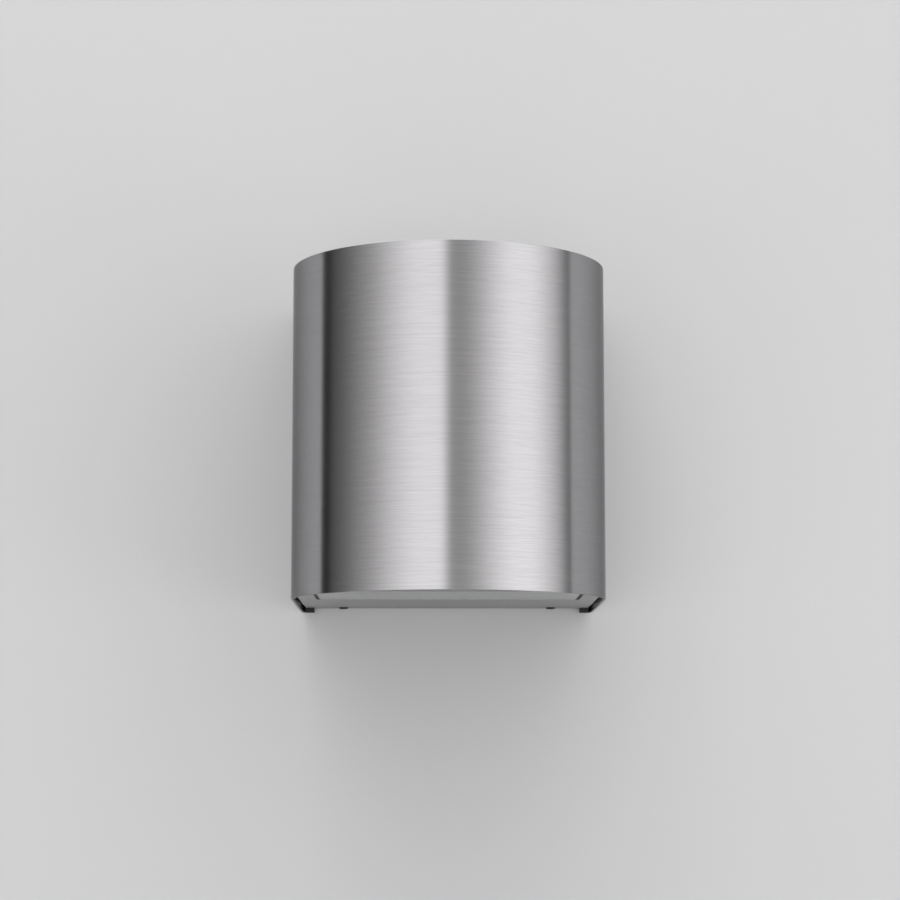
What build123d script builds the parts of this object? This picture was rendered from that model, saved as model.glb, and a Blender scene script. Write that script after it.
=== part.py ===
from build123d import *
import os
from math import asin, cos, degrees, pi, radians, sin, sqrt, tan

# Wall light with a rolled sheet-steel shade, half round in plan. It lights downwards.
# Millimetres. The wall is the plane Y = 0, the front points to -Y, Z is up and X = 0 is
# the middle. Z = 0 is half way up the shade.

# ---- driving dimensions: the shade -------------------------------------------------------
WIDTH = 160.0            # across the shade, twice the radius of its round front
HEIGHT = 170.0
DEPTH = 188.0            # wall to the foremost line of the shade
SHEET = 1.2              # stainless sheet of the cover and of both end plates
WALL_GAP = 1.0           # the cover's folded rear edges stand off an uneven wall
REAR_FLANGE = 6.0        # inward fold of the cover along the wall
BEND = 2.0               # outside radius of a fold
END_RECESS = 2.5         # both end plates lie this far inside the cover's edges
PLATE_GAP = 1.3          # open joint between an end plate and the cover
TAB_WIDTH, TAB_HEIGHT = 14.0, 10.0     # folded tabs, spot-welded to the cover
SIDE_TABS_Y = (-32.0, -96.0)
FRONT_TAB_ANGLES = (-28.0, 0.0, 28.0)  # degrees round the front, 0 is straight ahead
TRIM_WALL, TRIM_LEG = 0.9, 4.0         # rubber trim on the cover's folds, and its legs' reach
NOTCH_GAP = 0.5          # room between the trim and an end plate's corner notch

# ---- driving dimensions: the window in the bottom plate ----------------------------------
WINDOW_HALF = 68.6
WINDOW_REAR, WINDOW_FRONT = -72.0, -141.0
WINDOW_CORNER = 3.0
GLASS_LAP = 4.0          # the pane's upper step reaches this far past the opening
GLASS_STEP = 2.4         # thickness of that upper step
GLASS_REACH = 76.0       # the pane's front corners are ground round to clear the cover
SEAL_JOINT = 1.7         # black joint between the plate and the pane, seen from below
SEAL_THICK = 1.5         # rubber between the plate and the pane's upper step
SEAL_SUNK = 0.15         # the joint lies this far inside the plate's outer face
SEAL_SHORT = 0.4         # the rubber ends this far inside the pane's edge
CLIP_X, CLIP_OUT = 42.0, 9.0           # clip studs: from the middle, and off the pane
CLIP_WIDTH, CLIP_THICK = 12.0, 0.8
CLIP_HEEL, CLIP_TOE, CLIP_NOSE = 6.0, 5.0, 1.6     # foot, finger, and step to pane
STUD_LONG = 8.0

# ---- driving dimensions: the wall bracket ------------------------------------------------
PAD_THICK = 2.0          # rubber sheet against the wall
PLATE = 1.5              # sheet of the wall bracket
BRACKET_HALF = 70.0
FLANGE_REACH = 16.0      # wall to the edge of its top and bottom flanges
RUN_GAP = 0.3            # play between what slides and what stays
SLOT_X, SLOT_Z = 50.0, 68.0            # wall slots, from the middle
SLOT_WIDTH, SLOT_LENGTH = 5.5, 12.0
CABLE_X, CABLE_Z = 24.0, 66.0          # where the house cable comes in
CABLE_BORE = 4.5
SHADE_SCREW_X, SHADE_SCREW_Y = 56.8, -8.0
SHADE_SCREW_LONG = 11.0
M4, M3 = 2.0, 1.5        # screw radii
M4_NUT, M3_NUT = (7.0, 3.2), (5.5, 2.4)            # width across flats, height
FREE_HOLE = 0.2          # added to a screw's radius where it passes through
TAP_PLAY = 0.05          # added to it where it is tapped in

# ---- driving dimensions: lampholder, lamp and reflector ----------------------------------
LAMP_Z = -12.0
BRIDGE_SHEET = 1.2
BRIDGE_HALF, BRIDGE_FOOT, BRIDGE_HIGH = 30.0, 12.0, 40.0
BRIDGE_FRONT = -20.5
REFLECTOR_SHEET = 0.8
REFLECTOR_R = 60.0
REFLECTOR_SIDE = 46.0    # straight skirt below the arch
REFLECTOR_FRONT = -150.0
HOLDER_LONG, HOLDER_R, HOLDER_RIM = 40.0, 20.0, 1.2
HOLDER_FOOT, HOLDER_FOOT_THICK = 16.0, 5.0         # width of the oblong foot
HOLDER_SCREW_X = 24.0
WIRE_WAY = 11.0          # radius of the way for wires through bridge and reflector
CAVITY_R, CAVITY_FLOOR = 15.2, 9.0
SHELL_WALL, SHELL_PLAY, SHELL_TURNS = 0.6, 0.5, 6  # play between the lamp's thread and it
CONTACT_THICK, CONTACT_WIDTH, CONTACT_REACH = 0.6, 6.0, 8.0
THREAD_PITCH, THREAD_DEPTH = 3.629, 0.8
CAP_R, CAP_LONG, CAP_TURNS = 13.1, 21.5, 5         # crest of the lamp's screw cap
PIP_LONG, INSULATOR_LONG = 1.5, 3.5    # the lamp's centre contact and its black ring
LAMP_TIP = -33.0
LAMP_LONG = 105.0
NECK_LONG = 6.0          # straight part of the lamp's body, beside the cap
GLOBE_R, GLOBE_WALL = 30.0, 1.2
GLOBE_RIM = 13.0         # from the globe's centre back to the edge of its body

# ---- driving dimensions: terminal block and wires ----------------------------------------
BLOCK_X, BLOCK_Z = -37.0, 63.0
BLOCK_HIGH, BLOCK_DEEP = 16.0, 14.0
POLE_PITCH, TOWER_WIDTH = 10.0, 8.8
BLOCK_BASE = 3.0
BARREL_R, BARREL_BORE, BARREL_LONG = 3.0, 1.7, 14.0
BARREL_DEPTH = 7.0       # of the barrels' axis in front of the bracket
CLAMP_SCREW_Z, CLAMP_SCREW_LONG = 4.0, 5.2         # two in each barrel
SCREW_SLOT = 0.6
WIRE_R, CORE_R = 1.2, 0.7
CORE_LONG = 6.0          # bare end of a wire in its barrel
WIRE_X, WIRE_DEPTH = 6.0, 3.2          # where the wires enter the holder
EARTH_Z = 17.0
EARTH_SHEET, EARTH_RING = 0.8, 4.2
TAG_NECK, TAG_CRIMP = (3.6, 4.5), 7.0

# ---- worked out --------------------------------------------------------------------------
R_OUT = WIDTH / 2
ARC_Y = -(DEPTH - R_OUT)               # centre of the round front
R_IN = R_OUT - SHEET
Z_END = HEIGHT / 2
PLATE_Z = Z_END - END_RECESS           # outer face of an end plate, above and below
PLATE_EDGE = SHEET + PLATE_GAP
PLATE_INNER_Z = PLATE_Z - SHEET
PAD_FACE = -PAD_THICK
BRACKET_FACE = PAD_FACE - PLATE
BRACKET_Z = PLATE_INNER_Z - RUN_GAP
HOLDER_BACK = BRIDGE_FRONT - REFLECTOR_SHEET
HOLDER_FLOOR = HOLDER_BACK - CAVITY_FLOOR
HOLDER_MOUTH = HOLDER_BACK - HOLDER_LONG
FOOT_MIDDLE = BRIDGE_HALF + BRIDGE_FOOT / 2
GLASS_UNDER = -PLATE_INNER_Z + SEAL_THICK          # under the pane's upper step
GLASS_TOP = GLASS_UNDER + GLASS_STEP
CAP_START = LAMP_TIP - PIP_LONG - INSULATOR_LONG
CAP_END = CAP_START - CAP_LONG
GLOBE_Y = LAMP_TIP - LAMP_LONG + GLOBE_R
RIM_Y = GLOBE_Y + GLOBE_RIM
RIM_R = sqrt(GLOBE_R**2 - GLOBE_RIM**2)
BLOCK_LOW, BLOCK_TOP = BLOCK_Z - BLOCK_HIGH / 2, BLOCK_Z + BLOCK_HIGH / 2
BLOCK_FRONT = BRACKET_FACE - BLOCK_DEEP
BARREL_Y = BRACKET_FACE - BARREL_DEPTH
POLES = [BLOCK_X + n * POLE_PITCH for n in (-1, 0, 1)]
POLE_SCREWS = [(x, BLOCK_Z + s * CLAMP_SCREW_Z) for x in POLES for s in (-1, 1)]
BLOCK_SCREWS_X = [BLOCK_X + s * POLE_PITCH / 2 for s in (-1, 1)]
EARTH_X = POLES[0]
TAG_BARREL = WIRE_R + EARTH_SHEET - 0.2
TAG_Y = BRACKET_FACE - TAG_BARREL
TAG_LOW = EARTH_Z + EARTH_RING + TAG_NECK[1] - 1.9
TAG_TOP = TAG_LOW + TAG_CRIMP


# ---- helpers -----------------------------------------------------------------------------
def d_face(inset, rear_y):
    """Plan of the shade, shrunk by inset, from rear_y to its round front."""
    r = R_OUT - inset
    straight = rear_y - ARC_Y
    return Pos(0, ARC_Y + straight / 2) * Rectangle(2 * r, straight) + Pos(0, ARC_Y) * Circle(r)


def slab(face, z, thick):
    """A plan face made into a plate from z upwards."""
    return extrude(Pos(0, 0, z) * face, thick)


def block(x, y, z):
    """A box given by its three pairs of limits."""
    size = [b - a for a, b in (x, y, z)]
    return Pos((x[0] + x[1]) / 2, (y[0] + y[1]) / 2, (z[0] + z[1]) / 2) * Box(*size)


def turned(profile, x=0.0, z=0.0):
    """A solid turned about an axis along Y through (x, z); profile holds (y, radius) pairs."""
    face = make_face(Polyline(*[(r, y) for y, r in profile], close=True))
    return Pos(x, 0, z) * revolve(face, Axis.Y)


def rod_y(r, y0, y1, x=0.0, z=0.0):
    """A cylinder along Y."""
    return Pos(x, (y0 + y1) / 2, z) * Rot(90, 0, 0) * Cylinder(r, abs(y1 - y0))


def rod_z(r, z0, z1, x=0.0, y=0.0):
    """A cylinder along Z."""
    return Pos(x, y, (z0 + z1) / 2) * Cylinder(r, abs(z1 - z0))


def bent_strip(plane, points, thick, inner_radius, width):
    """Folded sheet: points follow the middle of its thickness, width is across the fold."""
    path = FilletPolyline(*points, radius=inner_radius + thick / 2)
    return extrude(plane * trace(path, thick), width / 2, both=True)


def pan_screw(radius, long, recess=True):
    """Pan-head screw on Z: the head hangs below z = 0 and the shank rises from it."""
    head_r, head_h = 1.75 * radius, 0.6 * radius
    head = Polyline((0, -head_h), (0.7 * head_r, -head_h), (0.95 * head_r, -0.65 * head_h),
                    (head_r, -0.3 * head_h), (head_r, 0), (radius, 0), (radius, long - radius / 4),
                    (0.75 * radius, long), (0, long), close=True)
    screw = revolve(Plane.XZ * make_face(head), Axis.Z)
    if recess:
        screw -= extrude(Pos(0, 0, -head_h) * RegularPolygon(0.62 * radius, 6), 0.6 * head_h)
    return screw


def screw_in(radius, long, x, y, z):
    """A pan-head screw driven towards the wall, with its head's seat at (x, y, z)."""
    return Pos(x, y, z) * Rot(-90, 0, 0) * pan_screw(radius, long)


def hex_nut(radius, size):
    """A nut on Z, standing on z = 0; size is its width across flats and its height."""
    flats, high = size
    body = extrude(RegularPolygon(flats / sqrt(3), 6), high)
    return body - rod_z(radius + TAP_PLAY, -1, high + 1)


def both_sides(solid):
    """The solid and its mirror image left of the middle."""
    return [solid, mirror(solid, Plane.YZ)]


# ---- the shade ---------------------------------------------------------------------------
def front_cover():
    """One rolled sheet: a half-round front, straight sides and a narrow fold at the wall."""
    outer = d_face(0, -WALL_GAP)
    outer = fillet(outer.vertices().group_by(Axis.Y)[-1], BEND)
    inner = d_face(SHEET, -WALL_GAP - SHEET)
    inner = fillet(inner.vertices().group_by(Axis.Y)[-1], BEND - SHEET)
    mouth = Pos(0, -WALL_GAP) * Rectangle(2 * (R_OUT - REAR_FLANGE), 4 * SHEET)
    return slab(outer - inner - mouth, -Z_END, HEIGHT)


def edge_trims():
    """Rubber channels pushed on to the cover's folds; their backs close the gap to the wall."""
    edge, back = R_OUT - REAR_FLANGE, -WALL_GAP + TRIM_WALL
    x, y = (edge - TRIM_WALL, edge + TRIM_LEG), (-WALL_GAP - SHEET - TRIM_WALL, back)
    trim = block(x, y, (-Z_END, Z_END))
    trim = fillet(trim.edges().filter_by(Axis.Z).group_by(Axis.X)[0], TRIM_WALL / 2)
    fold = block((edge, R_OUT), (-WALL_GAP - SHEET, -WALL_GAP), (-HEIGHT, HEIGHT))
    return both_sides(trim - fold)


def tab_section():
    """Section of a folded tab, as (distance from the middle, height over the plate's face)."""
    out, mid = R_IN - SHEET / 2, SHEET / 2
    path = FilletPolyline((out - 4 * SHEET, mid), (out, mid), (out, TAB_HEIGHT), radius=SHEET)
    return trace(path, SHEET)


def end_plate():
    """Plate across the shade, outer face at z = 0, with its tabs folded up along the edge."""
    clear = TRIM_WALL + NOTCH_GAP
    notch = Pos(R_OUT, -WALL_GAP) * Rectangle(2 * (REAR_FLANGE + clear), 2 * (SHEET + clear))
    face = d_face(PLATE_EDGE, -WALL_GAP) - notch - mirror(notch, Plane.YZ)
    plate = slab(face, 0, SHEET)
    section = Plane.XZ * tab_section()
    for y in SIDE_TABS_Y:
        tab = Pos(0, y, 0) * extrude(section, TAB_WIDTH / 2, both=True)
        plate += both_sides(tab)
    turn = degrees(TAB_WIDTH / R_IN)
    tab = revolve(section, Axis.Z, turn)
    for angle in FRONT_TAB_ANGLES:
        plate += Pos(0, ARC_Y, 0) * Rot(0, 0, -90 + angle - turn / 2) * tab
    return plate


def window_face(grow):
    """Plan of the window, grown all round; its front corners keep clear of the cover."""
    deep = WINDOW_REAR - WINDOW_FRONT + 2 * grow
    middle = (WINDOW_REAR + WINDOW_FRONT) / 2
    return Pos(0, middle) * RectangleRounded(2 * (WINDOW_HALF + grow), deep, WINDOW_CORNER)


def bottom_plate():
    plate = Pos(0, 0, -PLATE_Z) * end_plate()
    plate -= slab(window_face(0), -Z_END, HEIGHT / 2)
    holes = rod_z(M3 + FREE_HOLE, -Z_END, 0, SHADE_SCREW_X, SHADE_SCREW_Y)
    return plate - both_sides(holes)


def top_plate():
    return Pos(0, 0, PLATE_Z) * Rot(0, 180, 0) * end_plate()


def pane_face(shrink):
    reach = Pos(0, ARC_Y) * Circle(GLASS_REACH - shrink)
    rear = Pos(0, ARC_Y / 2) * Rectangle(WIDTH, -ARC_Y)
    return window_face(GLASS_LAP - shrink) & (reach + rear)


def lens_glass():
    """Stepped pane: its lower step fills the window, flush with the plate's outer face."""
    lower = slab(window_face(-SEAL_JOINT), -PLATE_Z, GLASS_UNDER + PLATE_Z)
    return lower + slab(pane_face(0), GLASS_UNDER, GLASS_STEP)


def lens_seal():
    """Rubber frame: a joint round the pane, and a lip between the plate and the pane's step."""
    low = -PLATE_Z + SEAL_SUNK
    joint = slab(window_face(0) - window_face(-SEAL_JOINT), low, -PLATE_INNER_Z - low)
    lip = slab(pane_face(SEAL_SHORT) - window_face(-SEAL_JOINT), -PLATE_INNER_Z, SEAL_THICK)
    return joint + lip


def clip_places():
    """Stud positions, each with the direction in which its clip reaches over the pane."""
    rear = WINDOW_REAR + GLASS_LAP + CLIP_OUT
    front = WINDOW_FRONT - GLASS_LAP - CLIP_OUT
    return [(x, y, way) for y, way in ((rear, -1), (front, 1)) for x in (-CLIP_X, CLIP_X)]


def clip_studs():
    """Threaded studs welded to the bottom plate."""
    low = -PLATE_INNER_Z
    return [rod_z(M3, low, low + STUD_LONG, x, y) for x, y, _ in clip_places()]


def glass_clips():
    """Stepped spring-steel clips: a foot on the plate, a finger on the pane."""
    foot, finger = -PLATE_INNER_Z + CLIP_THICK / 2, GLASS_TOP + CLIP_THICK / 2
    clips = []
    for x, y, way in clip_places():
        step, nose = y + way * (CLIP_OUT - CLIP_NOSE), y + way * (CLIP_OUT + CLIP_TOE)
        points = [(y - way * CLIP_HEEL, foot), (step, foot), (step, finger), (nose, finger)]
        clip = bent_strip(Plane.YZ, points, CLIP_THICK, CLIP_THICK / 2, CLIP_WIDTH)
        hole = rod_z(M3 + FREE_HOLE, foot - CLIP_THICK, foot + CLIP_THICK, 0, y)
        clips.append(Pos(x, 0, 0) * (clip - hole))
    return clips


def clip_nuts():
    z = -PLATE_INNER_Z + CLIP_THICK
    return [Pos(x, y, z) * hex_nut(M3, M3_NUT) for x, y, _ in clip_places()]


def shade_screws():
    """The two black screws that hold the shade, driven up from below."""
    screw = pan_screw(M3, SHADE_SCREW_LONG)
    return both_sides(Pos(SHADE_SCREW_X, SHADE_SCREW_Y, -PLATE_Z) * screw)


def clamp_nuts():
    """Nuts above the bracket's flange; the shade screws pull them down on it."""
    z = -BRACKET_Z + PLATE + RUN_GAP
    return both_sides(Pos(SHADE_SCREW_X, SHADE_SCREW_Y, z) * hex_nut(M3, M3_NUT))


# ---- what stays on the wall --------------------------------------------------------------
def slot_prism(width, long, y0, y1):
    """Four wall slots as solids to cut away, long along X."""
    one = extrude(Plane.XZ * SlotOverall(long, width), y0 - y1)
    return [Pos(x, y0, z) * one for x in (-SLOT_X, SLOT_X) for z in (-SLOT_Z, SLOT_Z)]


def wall_pad():
    """Rubber sheet that seals the bracket to the wall."""
    face = Plane.XZ * RectangleRounded(2 * (BRACKET_HALF - 4), 2 * (BRACKET_Z - 4), 4)
    pad = extrude(face, PAD_THICK)
    pad -= slot_prism(SLOT_WIDTH + 2, SLOT_LENGTH + 2, 1, PAD_FACE - 1)
    return pad - rod_y(CABLE_BORE + 5.5, 1, PAD_FACE - 1, CABLE_X, CABLE_Z)


def tapped_holes():
    """Centres of the bracket's threaded holes, each with its radius."""
    feet = [(x, LAMP_Z, M4) for x in (-FOOT_MIDDLE, FOOT_MIDDLE)]
    return feet + [(x, BLOCK_Z, M3) for x in BLOCK_SCREWS_X] + [(EARTH_X, EARTH_Z, M4)]


def wall_bracket():
    """Folded channel on the wall: the shade slides on to its top and bottom flanges."""
    back, edge = PAD_FACE - PLATE / 2, BRACKET_Z - PLATE / 2
    points = [(-FLANGE_REACH, -edge), (back, -edge), (back, edge), (-FLANGE_REACH, edge)]
    bracket = bent_strip(Plane.YZ, points, PLATE, 0.8, 2 * BRACKET_HALF)
    bracket -= slot_prism(SLOT_WIDTH, SLOT_LENGTH, 0, -5)
    bracket -= rod_y(CABLE_BORE + 2.5, 0, -5, CABLE_X, CABLE_Z)
    for x, z, r in tapped_holes():
        bracket -= rod_y(r + TAP_PLAY, 0, -5, x, z)
    reach = FLANGE_REACH + SHADE_SCREW_Y + 1
    width = 2 * (M3 + 2 * FREE_HOLE)
    slot = Circle(width / 2) + Pos(0, -reach / 2) * Rectangle(width, reach)
    slot = Pos(SHADE_SCREW_X, SHADE_SCREW_Y) * slot
    return bracket - both_sides(slab(slot, -BRACKET_Z - 1, PLATE + 2))


def cable_grommet():
    """Rubber grommet with a groove for the edge of the hole in the bracket."""
    groove, collar = CABLE_BORE + 2.5, CABLE_BORE + 4.5
    profile = [(-0.5, CABLE_BORE), (-0.5, collar - 1), (-1.2, collar), (PAD_FACE, collar),
               (PAD_FACE, groove), (BRACKET_FACE, groove), (BRACKET_FACE, collar),
               (BRACKET_FACE - 1.5, collar), (BRACKET_FACE - 4.0, CABLE_BORE + 1.2),
               (BRACKET_FACE - 4.0, CABLE_BORE)]
    return turned(profile, CABLE_X, CABLE_Z)


def lampholder_bridge():
    """Hat-shaped bracket that carries the reflector and the lampholder."""
    low, high = BRACKET_FACE - BRIDGE_SHEET / 2, BRIDGE_FRONT + BRIDGE_SHEET / 2
    side, foot = BRIDGE_HALF, BRIDGE_HALF + BRIDGE_FOOT
    points = [(-foot, low), (-side, low), (-side, high), (side, high), (side, low), (foot, low)]
    hat = Pos(0, 0, LAMP_Z) * bent_strip(Plane.XY, points, BRIDGE_SHEET, 0.8, BRIDGE_HIGH)
    top = (BRIDGE_FRONT - 1, BRIDGE_FRONT + 3)
    hat -= rod_y(WIRE_WAY, *top, 0, LAMP_Z)
    for x in (-HOLDER_SCREW_X, HOLDER_SCREW_X):
        hat -= rod_y(M4 + TAP_PLAY, *top, x, LAMP_Z)
    for x in (-FOOT_MIDDLE, FOOT_MIDDLE):
        hat -= rod_y(M4 + FREE_HOLE, 0, BRACKET_FACE - 3, x, LAMP_Z)
    return hat


def bridge_screws():
    seat, long = BRACKET_FACE - BRIDGE_SHEET, BRIDGE_SHEET + PLATE - 0.3
    return [screw_in(M4, long, x, seat, LAMP_Z) for x in (-FOOT_MIDDLE, FOOT_MIDDLE)]


def arch_face(r):
    """Arch with a straight skirt, seen from the front."""
    skirt = Pos(0, -REFLECTOR_SIDE / 2) * Rectangle(2 * r, REFLECTOR_SIDE)
    return Plane.XZ * (Circle(r) + skirt)


def reflector():
    """Bright sheet trough over the lamp, open below and in front, closed at the rear."""
    length = BRIDGE_FRONT - REFLECTOR_FRONT
    shell = Pos(0, BRIDGE_FRONT, 0) * extrude(arch_face(REFLECTOR_R), length)
    inside = extrude(arch_face(REFLECTOR_R - REFLECTOR_SHEET), length)
    shell -= Pos(0, HOLDER_BACK, 0) * inside
    mouth_z = (-3 * REFLECTOR_SIDE, -REFLECTOR_SIDE + 0.01)
    shell -= block((-WIDTH, WIDTH), (REFLECTOR_FRONT - 1, HOLDER_BACK), mouth_z)
    shell -= rod_y(WIRE_WAY, 0, HOLDER_BACK - 1)
    for x in (-HOLDER_SCREW_X, HOLDER_SCREW_X):
        shell -= rod_y(M4 + FREE_HOLE, 0, HOLDER_BACK - 1, x)
    return Pos(0, 0, LAMP_Z) * shell


def lampholder_body():
    """Porcelain holder: a round pot on an oblong foot with two screw holes."""
    pot = [(HOLDER_BACK, 0), (HOLDER_BACK, HOLDER_R), (HOLDER_MOUTH + HOLDER_RIM, HOLDER_R),
           (HOLDER_MOUTH, HOLDER_R - HOLDER_RIM), (HOLDER_MOUTH, CAVITY_R),
           (HOLDER_FLOOR, CAVITY_R), (HOLDER_FLOOR, 0)]
    body = turned(pot, 0, LAMP_Z)
    foot = Plane.XZ * SlotOverall(2 * HOLDER_SCREW_X + HOLDER_FOOT, HOLDER_FOOT)
    body += Pos(0, HOLDER_BACK, LAMP_Z) * extrude(foot, HOLDER_FOOT_THICK)
    through = HOLDER_BACK - HOLDER_FOOT_THICK - 1
    for x in (-HOLDER_SCREW_X, HOLDER_SCREW_X):
        body -= rod_y(M4 + FREE_HOLE, 0, through, x, LAMP_Z)
    for x in (-WIRE_X, WIRE_X):
        body -= rod_y(WIRE_R + 0.1, 0, HOLDER_BACK - WIRE_DEPTH, x, LAMP_Z)
    return body


def lampholder_screws():
    seat, long = HOLDER_BACK - HOLDER_FOOT_THICK, 9.0
    return [screw_in(M4, long, x, seat, LAMP_Z) for x in (-HOLDER_SCREW_X, HOLDER_SCREW_X)]


def rolled_thread(y0, turns, crest, root):
    """Profile points of a rolled round thread, drawn as rings one pitch apart."""
    points = []
    for turn in range(turns):
        y = y0 - turn * THREAD_PITCH
        points += [(y, root), (y - 0.3 * THREAD_PITCH, crest), (y - 0.7 * THREAD_PITCH, crest)]
    return points + [(y0 - turns * THREAD_PITCH, root)]


def lampholder_shell():
    """Brass screw shell on the floor of the holder: threaded inside, plain outside."""
    root = CAP_R + SHELL_PLAY
    outer = root + THREAD_DEPTH + SHELL_WALL
    wall = rolled_thread(HOLDER_FLOOR - 3, SHELL_TURNS, root + THREAD_DEPTH, root)
    return turned([(HOLDER_FLOOR, root)] + wall + [(wall[-1][0], outer), (HOLDER_FLOOR, outer)],
                  0, LAMP_Z)


def lampholder_contact():
    """Springy centre contact, just behind the lamp's tip."""
    half = CONTACT_THICK / 2
    foot, tip, reach = HOLDER_FLOOR - half, LAMP_TIP + RUN_GAP + half, CONTACT_REACH
    points = [(-reach, foot), (-reach / 2, foot), (0, tip), (reach / 2, foot), (reach, foot)]
    strip = bent_strip(Plane.XY, points, CONTACT_THICK, 1.0, CONTACT_WIDTH)
    return Pos(0, 0, LAMP_Z) * strip


# ---- the lamp ----------------------------------------------------------------------------
def lamp_contact():
    """Solder pip at the foot of the lamp."""
    end = LAMP_TIP - PIP_LONG
    return turned([(LAMP_TIP, 0), (LAMP_TIP, 2.6), (LAMP_TIP - 0.6, 4.2), (end, 4.8), (end, 0)],
                  0, LAMP_Z)


def lamp_insulator():
    """Black ring between the pip and the screw cap."""
    y = LAMP_TIP - PIP_LONG
    return turned([(y, 0), (y, 5.2), (CAP_START, CAP_R - THREAD_DEPTH - 1.0), (CAP_START, 0)],
                  0, LAMP_Z)


def lamp_cap():
    """Nickelled screw cap with a rolled thread and a plain skirt."""
    root = CAP_R - THREAD_DEPTH
    thread = rolled_thread(CAP_START - 0.8, CAP_TURNS, CAP_R, root)
    profile = [(CAP_START, 0), (CAP_START, root - 0.6)] + thread + [(CAP_END, root), (CAP_END, 0)]
    return turned(profile, 0, LAMP_Z)


def lamp_body():
    """Moulded neck that widens from the cap to the globe."""
    neck = CAP_R - 0.3
    return turned([(CAP_END, 0), (CAP_END, neck), (CAP_END - NECK_LONG, neck + 1), (RIM_Y, RIM_R),
                   (RIM_Y, 0)], 0, LAMP_Z)


def lamp_globe():
    """Opal globe, a hollow cap of a sphere seated on the neck."""
    ball = Pos(0, GLOBE_Y, LAMP_Z) * Sphere(GLOBE_R)
    ball -= Pos(0, GLOBE_Y, LAMP_Z) * Sphere(GLOBE_R - GLOBE_WALL)
    neck = block((-WIDTH, WIDTH), (RIM_Y, RIM_Y + 2 * GLOBE_R), (-WIDTH, WIDTH))
    return ball - neck


# ---- terminal block, earth and wires -----------------------------------------------------
def terminal_block():
    """Three towers on a common base, with a cross bore and two screw wells in each."""
    half = 1.5 * POLE_PITCH
    base = (BRACKET_FACE - BLOCK_BASE, BRACKET_FACE)
    body = block((BLOCK_X - half, BLOCK_X + half), base, (BLOCK_LOW, BLOCK_TOP))
    for x in POLES:
        across = (x - TOWER_WIDTH / 2, x + TOWER_WIDTH / 2)
        tower = block(across, (BLOCK_FRONT, BRACKET_FACE - 1), (BLOCK_LOW, BLOCK_TOP))
        body += fillet(tower.edges().filter_by(Axis.Z).group_by(Axis.Y)[0], 1.5)
        body -= rod_z(BARREL_R, BLOCK_LOW - 1, BLOCK_TOP + 1, x, BARREL_Y)
    for x, z in POLE_SCREWS:
        body -= rod_y(M3 + 0.4, BARREL_Y, BLOCK_FRONT - 1, x, z)
    for x in BLOCK_SCREWS_X:
        body -= rod_y(M3 + FREE_HOLE, 0, base[0] - 1, x, BLOCK_Z)
        body -= rod_y(M3 * 1.75 + 0.3, base[0], BLOCK_FRONT - 1, x, BLOCK_Z)
    return body


def terminal_barrels():
    """Brass tubes in the block, with a tapped hole under each clamp screw."""
    half = BARREL_LONG / 2
    barrels = []
    for x in POLES:
        tube = rod_z(BARREL_R - TAP_PLAY, BLOCK_Z - half, BLOCK_Z + half, x, BARREL_Y)
        tube -= rod_z(BARREL_BORE, BLOCK_Z - half - 1, BLOCK_Z + half + 1, x, BARREL_Y)
        for s in (-1, 1):
            z = BLOCK_Z + s * CLAMP_SCREW_Z
            tube -= rod_y(M3 + TAP_PLAY, BARREL_Y, BARREL_Y - BARREL_R - 1, x, z)
        barrels.append(tube)
    return barrels


def terminal_screws():
    """Slotted clamp screws; each bears on a wire in its barrel."""
    tip = BARREL_Y - CORE_R
    head = tip - CLAMP_SCREW_LONG
    screws = []
    for x, z in POLE_SCREWS:
        slot = block((x - 2, x + 2), (head - 0.1, head + 1), (z - SCREW_SLOT / 2, z + SCREW_SLOT / 2))
        screws.append(rod_y(M3, tip, head, x, z) - slot)
    return screws


def terminal_block_screws():
    seat, long = BRACKET_FACE - BLOCK_BASE, BLOCK_BASE + PLATE - 0.3
    return [screw_in(M3, long, x, seat, BLOCK_Z) for x in BLOCK_SCREWS_X]


def earth_tag():
    """Ring terminal flat on the bracket, with its crimp barrel pointing up."""
    ring = Circle(EARTH_RING) - Circle(M4 + FREE_HOLE)
    neck = Pos(0, EARTH_RING + 1) * Rectangle(*TAG_NECK)
    tag = Pos(0, BRACKET_FACE, 0) * extrude(Plane.XZ * Pos(EARTH_X, EARTH_Z) * (ring + neck), EARTH_SHEET)
    tag += rod_z(TAG_BARREL, TAG_LOW, TAG_TOP, EARTH_X, TAG_Y)
    return tag - rod_z(WIRE_R + TAP_PLAY, TAG_LOW + 2, TAG_TOP + 1, EARTH_X, TAG_Y)


def earth_washer():
    seat = BRACKET_FACE - EARTH_SHEET
    washer = rod_y(EARTH_RING, seat, seat - EARTH_SHEET, EARTH_X, EARTH_Z)
    return washer - rod_y(M4 + 0.1, seat + 1, seat - 2, EARTH_X, EARTH_Z)


def earth_screw():
    return screw_in(M4, 3.0, EARTH_X, BRACKET_FACE - 2 * EARTH_SHEET, EARTH_Z)


def wire(points, radii, core):
    """Insulated wire along straight runs joined by arcs, with a bare core at its start."""
    path = FilletPolyline(*points, radius=radii)
    start = Vector(*points[0])
    leave = (Vector(*points[1]) - start).normalized()
    tube = sweep(Plane(origin=start, z_dir=leave) * Circle(WIRE_R), path)
    ratio = tube.volume / (pi * WIRE_R**2 * path.length)
    print("wire radii", [round(r, 1) for r in radii], "volume ratio", round(ratio, 4))
    return tube + extrude(Plane(origin=start, z_dir=-leave) * Circle(CORE_R), core)


def arc_radii(points):
    """The largest arc that each corner's two runs allow, at nine tenths of half a run."""
    places = [Vector(*p) for p in points]
    radii = []
    for before, corner, after in zip(places, places[1:], places[2:]):
        into, out = corner - before, after - corner
        turn = radians(into.get_angle(out))
        radii.append(0.45 * min(into.length, out.length) / tan(turn / 2))
    return radii


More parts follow.
